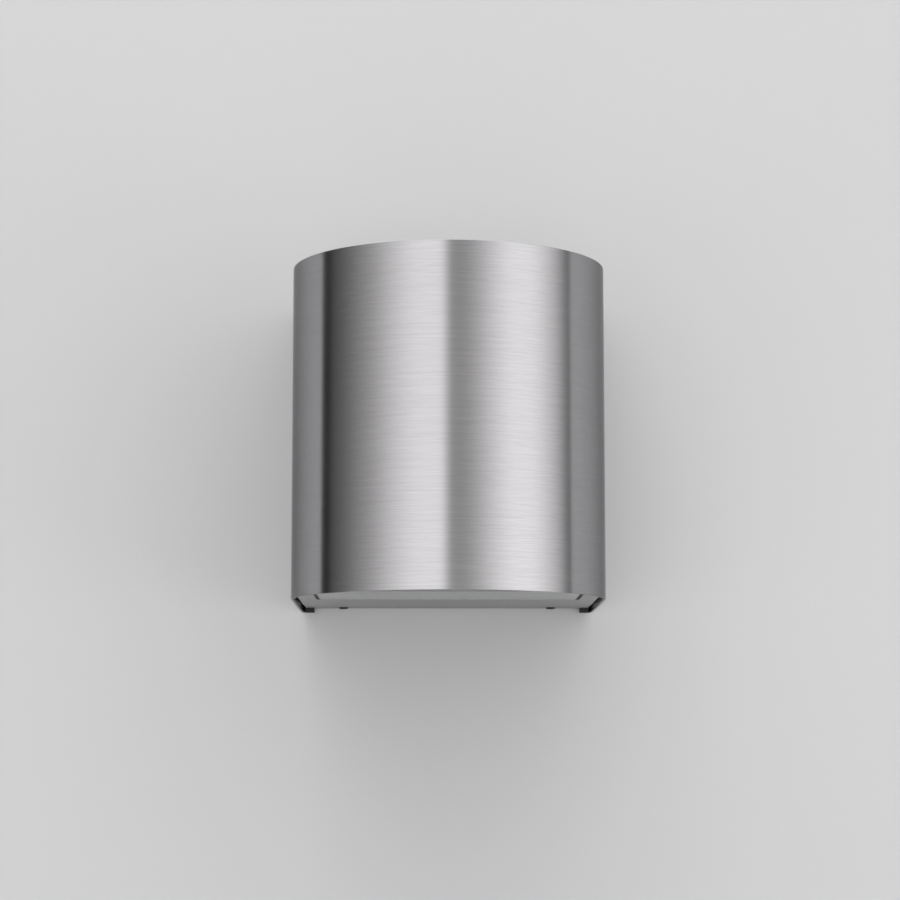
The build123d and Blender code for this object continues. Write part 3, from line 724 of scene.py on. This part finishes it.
class WALLLIGHT_OT_window(bpy.types.Operator):
    """Stepped pane, its rubber frame, and the clips, studs and nuts that hold it"""
    bl_idname = "wall_light.window"
    bl_label = "Window"

    def execute(self, context):
        taken_over("lens_glass", "shade", window_glass(), 0.25 * MM, 3)
        taken_over("lens_seal", "shade", black_rubber(), 0.12 * MM)
        taken_over("glass_clips", "shade", zinc_steel(), 0.1 * MM)
        shade = settings()[0]
        low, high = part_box("clip_studs")
        nut_low, nut_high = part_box("clip_nuts")
        radius, long = shade.stud, high.z - low.z
        first = Vector((low.x + radius, low.y + radius, low.z))
        foot, point = 1.5 * MM, 0.4 * MM             # the parts without thread
        profile = [(0, 0), (0, radius), (foot - 0.1 * MM, radius)]
        profile += rings(foot, long - point, M3_PITCH, radius, 0.3 * M3_PITCH)
        profile += [(long, 0.8 * radius), (long, 0)]
        stud = lathed("stud", profile, first, UP, 24)
        smooth(stud, 30)
        nut = hex_nut("nut", Vector((first.x, first.y, nut_low.z)), radius, shade.flats,
                      nut_high.z - nut_low.z)
        across, deep = high.x - low.x - 2 * radius, high.y - low.y - 2 * radius
        offsets = [(across, 0, 0), (0, deep, 0), (across, deep, 0)]
        studs = repeated("studs_threaded", stud, offsets)
        nuts = repeated("clip_nuts_hexagon", nut, offsets)
        finish_piece(studs, "shade", zinc_steel(), "clip_studs")
        finish_piece(nuts, "shade", zinc_steel(), "clip_nuts")
        return {"FINISHED"}


class WALLLIGHT_OT_shade_fixings(bpy.types.Operator):
    """The two black screws below and their nuts"""
    bl_idname = "wall_light.shade_fixings"
    bl_label = "Shade screws and nuts"

    def execute(self, context):
        seat, gap, radius = screw_row("shade_screws", "shade", black_steel(), M3_PITCH, UP,
                                      "_black")
        low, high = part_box("clamp_nuts")
        nut = hex_nut("nut", Vector((seat.x, seat.y, low.z)), radius, settings()[0].flats,
                      high.z - low.z)
        finish_piece(repeated("clamp_nuts_hexagon", nut, [gap]), "shade", zinc_steel(),
                     "clamp_nuts")
        return {"FINISHED"}


class WALLLIGHT_OT_wall_bracket(bpy.types.Operator):
    """Bracket, its rubber pad, and the grommet for the house cable"""
    bl_idname = "wall_light.wall_bracket"
    bl_label = "Wall bracket"

    def execute(self, context):
        taken_over("wall_bracket", "bracket", zinc_steel())
        taken_over("wall_pad", "bracket", black_rubber(), 0.25 * MM)
        low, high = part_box("cable_grommet")
        centre = Vector(((low.x + high.x) / 2, high.y, (low.z + high.z) / 2))
        collar, long = (high.x - low.x) / 2, high.y - low.y
        bore, groove, rounding = 4.5 * MM, collar - 2 * MM, 0.9 * MM
        plate_back, plate_front, lip = 1.5 * MM, 3.0 * MM, 4.3 * MM
        profile = [(0, bore)] + arc((rounding, collar - rounding), rounding, 180, 90, 5)
        profile += [(plate_back, collar), (plate_back, groove), (plate_front, groove),
                    (plate_front, collar), (lip, collar)]
        profile += [(long - before * MM, bore + out * MM)
                    for before, out in ((0.6, 1.4), (0.15, 1.0), (0, 0.5), (0, 0))]
        profile += [(0, bore)]
        grommet = lathed("grommet_rubber", profile, centre, FORWARD, 56)
        smooth(grommet)
        finish_piece(grommet, "bracket", black_rubber(), "cable_grommet")
        return {"FINISHED"}


class WALLLIGHT_OT_reflector(bpy.types.Operator):
    """Bright sheet trough: an arch with straight skirts and a closed back"""
    bl_idname = "wall_light.reflector"
    bl_label = "Reflector"

    def execute(self, context):
        sheet = settings()[1].reflector_sheet
        low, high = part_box("reflector")
        radius = (high.x - low.x) / 2
        axis_z = high.z - radius
        clear_selection()
        bpy.ops.mesh.primitive_cylinder_add(vertices=256, radius=radius, depth=high.y - low.y,
                                            end_fill_type="NOTHING", rotation=(radians(90), 0, 0),
                                            location=(0, (low.y + high.y) / 2, axis_z))
        trough = started("reflector_bright")
        bisected((0, 0, axis_z), UP, clear_inner=True)
        pick(trough, lambda v: v.co.z < axis_z + NEAR)
        bpy.ops.mesh.extrude_region_move(
            TRANSFORM_OT_translate={"value": (0, 0, low.z - axis_z)})
        pick(trough, lambda v: v.co.y > high.y - NEAR)
        bpy.ops.mesh.edge_face_add()
        closed_up()
        turned(trough, max(trough.data.polygons, key=lambda f: f.center.z), UP)
        thickened(trough, sheet, -1)
        wires, screw, screw_x = 11.0 * MM, 2.2 * MM, 24.0 * MM
        for x, hole in ((0, wires), (-screw_x, screw), (screw_x, screw)):
            start = Vector((x, high.y + MM, axis_z))
            cut_away(trough, rod("hole", hole, start, start + FORWARD * 6 * MM, 48))
        soften(trough, 0.12 * MM, 2, 50)
        finish_piece(trough, "bracket", bright_aluminium(), "reflector")
        return {"FINISHED"}


def threaded_skin(name, radius, turns, start, back, front, steps=72):
    """A skin with the lamp's round thread, cut off at two planes and left in edit mode."""
    lamp = settings()[1]
    middle, swing = radius - lamp.depth / 2, lamp.depth / 2
    wave = [(n / THREAD_FACETS, math.cos(2 * math.pi * n / THREAD_FACETS))
            for n in range(THREAD_FACETS + 1)]
    skin = traced(name, [Vector((middle - swing * c, -lamp.pitch * share, 0))
                         for share, c in wave])
    bpy.ops.object.mode_set(mode="OBJECT")
    apply_modifier(skin, "SCREW", axis="Y", angle=2 * math.pi, screw_offset=-lamp.pitch,
                   iterations=turns, steps=steps, render_steps=steps, use_merge_vertices=True,
                   merge_threshold=SAME)
    skin.location = (0, start + lamp.pitch, LAMP_Z)
    only(skin)
    bpy.ops.object.transform_apply(location=True)
    bpy.ops.object.mode_set(mode="EDIT")
    bisected((0, back, 0), BACKWARD, clear_outer=True)
    bisected((0, front, 0), BACKWARD, clear_inner=True)
    return skin


class WALLLIGHT_OT_lampholder(bpy.types.Operator):
    """Porcelain holder with its screw shell, contact, bracket and screws"""
    bl_idname = "wall_light.lampholder"
    bl_label = "Lampholder"

    def execute(self, context):
        lamp = settings()[1]
        taken_over("lampholder_bridge", "bracket", zinc_steel())
        taken_over("lampholder_body", "bracket", porcelain(), 0.45 * MM, 4)
        taken_over("lampholder_contact", "bracket", brass(), 0.1 * MM)
        self.shell(lamp)
        for node in ("bridge_screws", "lampholder_screws"):
            screw_row(node, "bracket", zinc_steel(), M4_PITCH)
        return {"FINISHED"}

    def shell(self, lamp):
        """Brass shell: the thread at its inner face, its sheet added outside."""
        low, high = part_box("lampholder_shell")
        outer = (high.x - low.x) / 2 - lamp.shell
        turns = int((high.y - low.y) / lamp.pitch) + 3
        skin = threaded_skin("shell_threaded", outer, turns, high.y, high.y, low.y)
        closed_up()
        face = skin.data.polygons[0]
        turned(skin, face, face.center - Vector((0, face.center.y, LAMP_Z)))
        thickened(skin, lamp.shell, 1)
        smooth(skin, 50)
        finish_piece(skin, "bracket", brass(), "lampholder_shell")


class WALLLIGHT_OT_terminals(bpy.types.Operator):
    """Terminal block, earth tag and their screws"""
    bl_idname = "wall_light.terminals"
    bl_label = "Terminals and earth"

    def execute(self, context):
        taken_over("terminal_block", "bracket", grey_plastic(), 0.2 * MM, 3)
        taken_over("terminal_barrels", "bracket", brass(), 0.08 * MM)
        taken_over("earth_tag", "bracket", nickel(), 0.1 * MM)
        taken_over("earth_washer", "bracket", zinc_steel(), 0.1 * MM)
        self.clamp_screws()
        screw_row("terminal_block_screws", "bracket", zinc_steel(), M3_PITCH)
        screw_row("earth_screw", "bracket", zinc_steel(), M4_PITCH)
        return {"FINISHED"}

    def clamp_screws(self):
        """Six headless screws with a slot."""
        low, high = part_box("terminal_screws")
        radius, long = 1.5 * MM, high.y - low.y
        profile = [(0, 0), (0, 0.85 * radius), (0.25 * MM, radius)]
        profile += rings(M3_PITCH, long - 0.4 * MM, M3_PITCH, radius, 0.24 * M3_PITCH)
        profile += [(long, 0.8 * radius), (long, 0)]
        first = Vector((low.x + radius, low.y, low.z + radius))
        screw = lathed("screw", profile, first, BACKWARD, 28)
        half = Vector((2 * radius, MM, 0.3 * MM))
        cut_away(screw, bar("slot", first - half, first + half))
        smooth(screw, 30)
        across, rise = (high.x - low.x) / 2 - radius, high.z - low.z - 2 * radius
        offsets = [(across * n, 0, rise * m) for n in range(3) for m in range(2)][1:]
        screws = repeated("clamp_screws_slotted", screw, offsets)
        finish_piece(screws, "bracket", zinc_steel(), "terminal_screws")


class WALLLIGHT_OT_wires(bpy.types.Operator):
    """The three inner wires"""
    bl_idname = "wall_light.wires"
    bl_label = "Wires"

    def execute(self, context):
        for node, material in (("wire_live", wire_brown), ("wire_neutral", wire_blue),
                               ("wire_earth", wire_green_yellow)):
            taken_over(node, "bracket", material(), 0)
        return {"FINISHED"}


class WALLLIGHT_OT_lamp(bpy.types.Operator):
    """Lamp: opal globe, moulded neck, screw cap, black ring and solder pip"""
    bl_idname = "wall_light.lamp"
    bl_label = "Lamp"

    def execute(self, context):
        lamp = settings()[1]
        self.globe(lamp)
        self.neck()
        self.cap(lamp)
        self.foot()
        return {"FINISHED"}

    def globe(self, lamp):
        low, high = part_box("lamp_globe")
        radius = (high.x - low.x) / 2
        centre = Vector((0, low.y + radius, LAMP_Z))
        rim_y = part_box("lamp_body")[0].y
        clear_selection()
        bpy.ops.mesh.primitive_uv_sphere_add(segments=96, ring_count=64, radius=radius,
                                             location=centre, rotation=(radians(90), 0, 0))
        globe = started("globe_opal")
        bisected((0, rim_y, 0), BACKWARD, clear_outer=True)
        closed_up()
        turned(globe, min(globe.data.polygons, key=lambda f: f.center.y), FORWARD)
        thickened(globe, lamp.globe_wall, -1)
        smooth(globe, 45)
        finish_piece(globe, "lamp", opal_globe(), "lamp_globe")

    def neck(self):
        low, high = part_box("lamp_body")
        rim, cap = (high.x - low.x) / 2, CAP_HIGH.x - 0.3 * MM
        long = high.y - low.y
        # shares of the neck's length, and of its widening from the cap to the globe's rim
        flare = [(0.14, 0.02), (0.28, 0.08), (0.42, 0.20), (0.56, 0.38), (0.70, 0.58),
                 (0.84, 0.79), (0.93, 0.93)]
        profile = [(0, 0), (0, cap - 0.3 * MM), (0.3 * MM, cap)]
        profile += [(long * a, cap + (rim - cap) * r) for a, r in flare]
        profile += [(long - 0.9 * MM, rim - 0.25 * MM), (long - 0.8 * MM, rim - 0.7 * MM),
                    (long - 0.4 * MM, rim - 0.7 * MM), (long - 0.3 * MM, rim - 0.1 * MM),
                    (long, rim), (long, 0)]
        neck = lathed("lamp_neck", profile, Vector((0, high.y, LAMP_Z)), FORWARD, 96)
        smooth(neck, 40)
        finish_piece(neck, "lamp", white_plastic(), "lamp_body")

    def cap(self, lamp):
        """Nickel cap: its thread runs out on to a plain ring at either end."""
        radius = (CAP_HIGH.x - CAP_LOW.x) / 2
        back, skirt = CAP_HIGH.y - 0.9 * MM, CAP_LOW.y + 3.0 * MM
        skin = threaded_skin("cap_threaded", radius, 8, CAP_HIGH.y, back, skirt)
        self.draw_in(skin, back, CAP_HIGH.y - back, radius - lamp.depth - 0.6 * MM)
        self.draw_in(skin, skirt, CAP_LOW.y - skirt, radius - lamp.depth)
        closed_up()
        smooth(skin, 50)
        finish_piece(skin, "lamp", nickel(), "lamp_cap")

    def draw_in(self, skin, y, step, ring):
        """Carries the thread's open end on to a plain ring of the given radius and closes it."""
        pick(skin, lambda v: abs(v.co.y - y) < SAME)
        bpy.ops.mesh.extrude_region_move(TRANSFORM_OT_translate={"value": (0, step * 0.4, 0)})
        bpy.ops.object.mode_set(mode="OBJECT")
        for vertex in skin.data.vertices:
            if vertex.select:
                away = Vector((vertex.co.x, 0, vertex.co.z - LAMP_Z)).normalized() * ring
                vertex.co = (away.x, vertex.co.y, LAMP_Z + away.z)
        bpy.ops.object.mode_set(mode="EDIT")
        bpy.ops.mesh.extrude_region_move(TRANSFORM_OT_translate={"value": (0, step * 0.6, 0)})
        bpy.ops.mesh.edge_face_add()

    def foot(self):
        """Black glass cone and the solder pip on it."""
        low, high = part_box("lamp_insulator")
        wide, long = (high.x - low.x) / 2, high.y - low.y
        tip = 5.2 * MM
        cone = [(0, 0), (0, tip), (0.5 * MM, tip + 0.7 * MM), (long - 0.8 * MM, wide - 0.35 * MM),
                (long - 0.25 * MM, wide), (long, wide), (long, 0)]
        ring = lathed("insulator_glass", cone, Vector((0, high.y, LAMP_Z)), FORWARD, 64)
        smooth(ring)
        finish_piece(ring, "lamp", black_insulator(), "lamp_insulator")
        low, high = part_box("lamp_contact")
        wide, long = (high.x - low.x) / 2, high.y - low.y
        dome = [(long * (1 - math.cos(radians(a))), wide * math.sin(radians(a)))
                for a in (20, 32, 44, 56, 68, 80, 90)]
        pip = lathed("solder_pip", [(long * 0.03, 0)] + dome + [(long, 0)],
                     Vector((0, high.y, LAMP_Z)), FORWARD, 40)
        smooth(pip)
        finish_piece(pip, "lamp", brass(), "lamp_contact")


# ---- the studio --------------------------------------------------------------------------
def plain_surface(name, colour, one_sided=False):
    """Matt pale surface; one-sided, it is seen from its front only."""
    tree = Tree(name)
    cloud = tree.noise(3, 2, 0.4)
    tree.set(Base_Color=tree.between(cloud, shaded(colour, 0.98), shaded(colour, 1.02)),
             Roughness=0.9, Specular_IOR_Level=0.2)
    if one_sided:
        facing = tree.add("ShaderNodeNewGeometry").outputs["Backfacing"]
        clear = tree.add("ShaderNodeBsdfTransparent").outputs[0]
        mix = tree.add("ShaderNodeMixShader", {0: facing, 1: tree.shader.outputs[0], 2: clear})
        tree.links.new(mix.outputs[0], tree.nodes["Material Output"].inputs["Surface"])
    return tree.material


def stage_plane(name, x, y, z, material, upright=False):
    """A plane given by its limits; upright it faces -Y."""
    clear_selection()
    bpy.ops.mesh.primitive_plane_add(size=1)
    plane = bpy.context.object
    plane.name = name
    if upright:
        plane.scale = (x[1] - x[0], z[1] - z[0], 1)
        plane.rotation_euler = (radians(90), 0, 0)
        plane.location = ((x[0] + x[1]) / 2, y, (z[0] + z[1]) / 2)
    else:
        plane.scale = (x[1] - x[0], y[1] - y[0], 1)
        plane.location = ((x[0] + x[1]) / 2, (y[0] + y[1]) / 2, z)
    bpy.ops.object.transform_apply(location=True, rotation=True, scale=True)
    plane.data.materials.append(material)
    return plane


# Soft boxes round the room, as angles about the light (0 is straight ahead, + is right):
# where the glow starts and is full, where it begins to fade and has gone, and its strength.
# The flags darken the room in the same way, beside the ends of the backdrop.
SOFT_BOXES = {
    "left": (-101, -14, -7, 3, 1.11),
    "middle": (-62, -22, 84, 103, 0.38),
    "right": (6, 51, 58, 104, 1.20),
    "behind_left": (-220, -150, -135, -120, 1.2),
    "behind_right": (120, 135, 150, 220, 1.2),
}
FLAGS = {
    "left": (-109, -105, -99, -93, 0.85),
}
# Heights on the sky's unit ball between which a change takes place.
LOW_BAND, LOW_GAIN = (-0.16, 0.06), 0.35     # the boxes are stronger below the horizon
OVERHEAD_BAND = (0.62, 1.0)


def world_light():
    """A dim room with soft boxes, flags and overhead light; the camera sees it as even grey."""
    studio = settings()[2]
    world = bpy.data.worlds.new("studio")
    bpy.context.scene.world = world
    world.use_nodes = True
    nodes, links = world.node_tree.nodes, world.node_tree.links
    background = nodes["Background"]

    def math_node(operation, a, b=0.0, clamp=False):
        node = nodes.new("ShaderNodeMath")
        node.operation, node.use_clamp = operation, clamp
        for socket, value in zip(node.inputs, (a, b)):
            if isinstance(value, bpy.types.NodeSocket):
                links.new(value, socket)
            else:
                socket.default_value = value
        return node.outputs[0]

    def ramp(value, start, end):
        node = nodes.new("ShaderNodeMapRange")
        node.interpolation_type = "SMOOTHSTEP"
        links.new(value, node.inputs["Value"])
        node.inputs["From Min"].default_value, node.inputs["From Max"].default_value = start, end
        return node.outputs[0]

    parts = nodes.new("ShaderNodeSeparateXYZ")
    links.new(nodes.new("ShaderNodeTexCoord").outputs["Generated"], parts.inputs[0])
    x, y, z = parts.outputs
    azimuth = math_node("DEGREES", math_node("ARCTAN2", x, math_node("MULTIPLY", y, -1.0)))

    def card(rise, full, fade, gone, strength):
        up, down = ramp(azimuth, rise, full), ramp(azimuth, fade, gone)
        return math_node("MULTIPLY", math_node("MULTIPLY", up, math_node("SUBTRACT", 1.0, down)),
                         strength)

    level = studio.ambient
    for box in SOFT_BOXES.values():
        level = math_node("ADD", card(*box), level)
    for flag in FLAGS.values():
        level = math_node("MULTIPLY", level, math_node("SUBTRACT", 1.0, card(*flag)))
    low = math_node("MULTIPLY", math_node("SUBTRACT", 1.0, ramp(z, *LOW_BAND)), LOW_GAIN)
    level = math_node("MULTIPLY", level, math_node("ADD", low, 1.0))
    overhead = math_node("MULTIPLY", ramp(z, *OVERHEAD_BAND), studio.overhead)
    glow = math_node("ADD", level, overhead)
    seen = nodes.new("ShaderNodeLightPath").outputs["Is Camera Ray"]
    plain = math_node("MULTIPLY", seen, studio.plain)
    hidden = math_node("MULTIPLY", math_node("SUBTRACT", 1.0, seen), glow)
    links.new(math_node("ADD", plain, hidden), background.inputs["Strength"])
    background.inputs["Color"].default_value = (1.0, 1.0, 1.0, 1)


class WALLLIGHT_OT_studio(bpy.types.Operator):
    """Camera, pale floor and backdrop, and soft light"""
    bl_idname = "wall_light.studio"
    bl_label = "Studio"

    def execute(self, context):
        studio = settings()[2]
        floor_z = -studio.floor_drop
        floor_x, floor_y = (-3, 3), (-4, 3)
        stage_plane("floor", floor_x, floor_y, floor_z,
                    plain_surface("pale_floor", tuple(studio.floor)))
        pale = plain_surface("pale_backdrop", tuple(studio.wall), one_sided=True)
        backdrop = stage_plane("backdrop", (-studio.wall_left, studio.wall_right),
                               studio.wall_gap, (floor_z, studio.wall_top), pale, upright=True)
        self.opening(backdrop)
        world_light()
        camera = bpy.data.cameras.new("camera")
        camera.lens, camera.sensor_width = studio.lens, 36
        camera.clip_start, camera.clip_end = 0.05, 20
        holder = bpy.data.objects.new("camera", camera)
        context.scene.collection.objects.link(holder)
        holder.location = studio.camera_place
        pitch, yaw = studio.camera_pitch, studio.camera_yaw
        ahead = Vector((math.sin(yaw) * math.cos(pitch), math.cos(yaw) * math.cos(pitch),
                        math.sin(pitch)))
        holder.rotation_euler = ahead.to_track_quat("-Z", "Y").to_euler()
        context.scene.camera = holder
        context.scene.view_settings.view_transform = "Standard"
        return {"FINISHED"}

    def opening(self, backdrop):
        """Cuts the backdrop out behind the wall pad, so that the light's back is lit."""
        low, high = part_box("wall_pad")
        only(backdrop)
        bpy.ops.object.mode_set(mode="EDIT")
        for place in (low * 0.97, high * 0.97):
            for way in ((1, 0, 0), (0, 0, 1)):
                bisected(place, way)
        pick(backdrop, lambda f: low.x < f.center.x < high.x and low.z < f.center.z < high.z,
             "FACE")
        bpy.ops.mesh.delete(type="FACE")
        bpy.ops.object.mode_set(mode="OBJECT")


class WALLLIGHT_PT_panel(bpy.types.Panel):
    """Sizes, colours and the steps of making"""
    bl_label = "Half-round wall light"
    bl_idname = "WALLLIGHT_PT_panel"
    bl_space_type = "VIEW_3D"
    bl_region_type = "UI"
    bl_category = "Wall light"

    def draw(self, context):
        for group in settings():
            for name in group.bl_rna.properties.keys():
                if name not in ("rna_type", "name"):
                    self.layout.prop(group, name)
        for operator in OPERATORS:
            self.layout.operator(operator.bl_idname)


OPERATORS = (
    WALLLIGHT_OT_front_cover, WALLLIGHT_OT_edge_trims, WALLLIGHT_OT_end_plates,
    WALLLIGHT_OT_window, WALLLIGHT_OT_shade_fixings, WALLLIGHT_OT_wall_bracket,
    WALLLIGHT_OT_reflector, WALLLIGHT_OT_lampholder, WALLLIGHT_OT_terminals,
    WALLLIGHT_OT_wires, WALLLIGHT_OT_lamp, WALLLIGHT_OT_studio,
)
CLASSES = (ShadeSettings, LampSettings, StudioSettings, *OPERATORS, WALLLIGHT_PT_panel)


def register():
    for item in CLASSES:
        bpy.utils.register_class(item)
    bpy.types.Scene.wall_light_shade = PointerProperty(type=ShadeSettings)
    bpy.types.Scene.wall_light_lamp = PointerProperty(type=LampSettings)
    bpy.types.Scene.wall_light_studio = PointerProperty(type=StudioSettings)


def unregister():
    del bpy.types.Scene.wall_light_studio
    del bpy.types.Scene.wall_light_lamp
    del bpy.types.Scene.wall_light_shade
    for item in reversed(CLASSES):
        bpy.utils.unregister_class(item)


def main():
    register()
    for operator in OPERATORS:
        group, name = operator.bl_idname.split(".")
        getattr(getattr(bpy.ops, group), name)()


if __name__ == "__main__":
    main()
